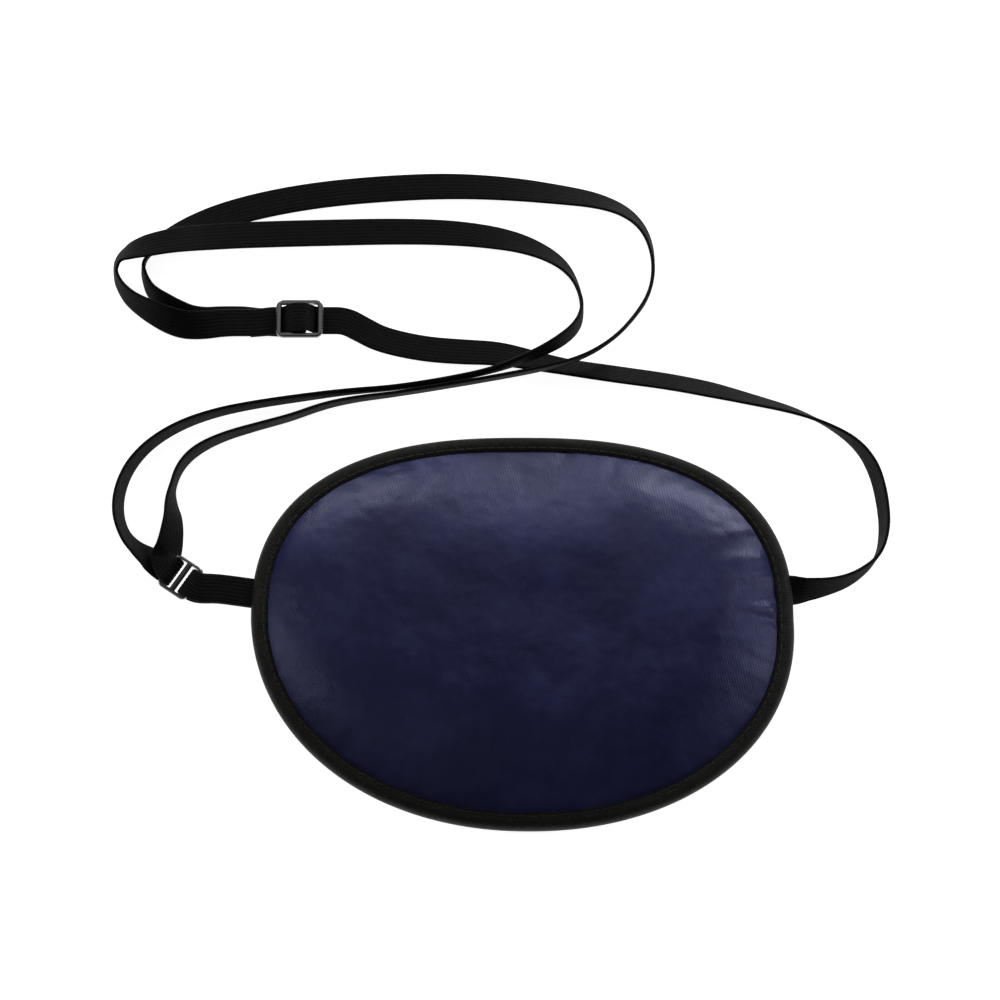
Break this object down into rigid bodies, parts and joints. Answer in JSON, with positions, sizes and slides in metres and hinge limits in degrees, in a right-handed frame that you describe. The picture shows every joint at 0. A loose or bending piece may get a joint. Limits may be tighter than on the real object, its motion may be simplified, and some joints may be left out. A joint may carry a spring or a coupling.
{
  "type": "eye patch",
  "caption": "Padded satin eye patch with bound edge, on a doubled elastic strap with a length slide and an end link, strap laid out in loose loops.",
  "frame": {"origin": "on the flat of the back lining, under the middle of the patch, which lies back down on a table", "axes": "+X along the patch's width, away from the link; +Y towards its top edge; +Z out of the satin front"},
  "size_m": [0.1616, 0.1397, 0.0102],
  "materials": {
    "satin_navy": "satin sheen",
    "lining_black": "matte",
    "wadding_white": "matte",
    "blackout_grey": "matte",
    "binding_black": "soft sheen",
    "thread_black": "soft sheen",
    "elastic_black": "matte ribbed",
    "slide_black": "gloss"
  },
  "bodies": {
    "patch": {"front_cover": "satin_navy", "front_wadding": "wadding_white", "blackout_interlining": "blackout_grey", "back_wadding": "wadding_white", "back_cover": "lining_black", "edge_binding": "binding_black", "seam_thread_front": "thread_black", "seam_thread_back": "thread_black", "link_tab": "elastic_black", "strap_root_end": "elastic_black", "strap_right_run": "elastic_black", "strap_lower_lead": "elastic_black", "strap_lower_loop": "elastic_black", "strap_upper_lead": "elastic_black", "strap_upper_loop": "elastic_black"},
    "link": {"link_frame": "slide_black", "strap_link_fold": "elastic_black"},
    "slider": {"slider_frame": "slide_black", "strap_slider_pass": "elastic_black", "strap_end_loop": "elastic_black", "strap_end_tack": "thread_black"}
  },
  "joints": [
    {"name": "link_swing", "type": "hinge", "parent": "patch", "child": "link", "pos_m": [-0.067, 0.0098, 0.0028], "axis": [0.5592, 0.829, 0], "range_deg": [-12, 75], "deforming": ["strap_lower_loop", "strap_upper_loop"]},
    {"name": "slider_slide", "type": "slide", "parent": "patch", "child": "slider", "axis": [1, 0, 0], "range_m": [-0.01, 0.012], "deforming": ["strap_right_run", "strap_lower_lead", "strap_upper_lead"]}
  ]
}
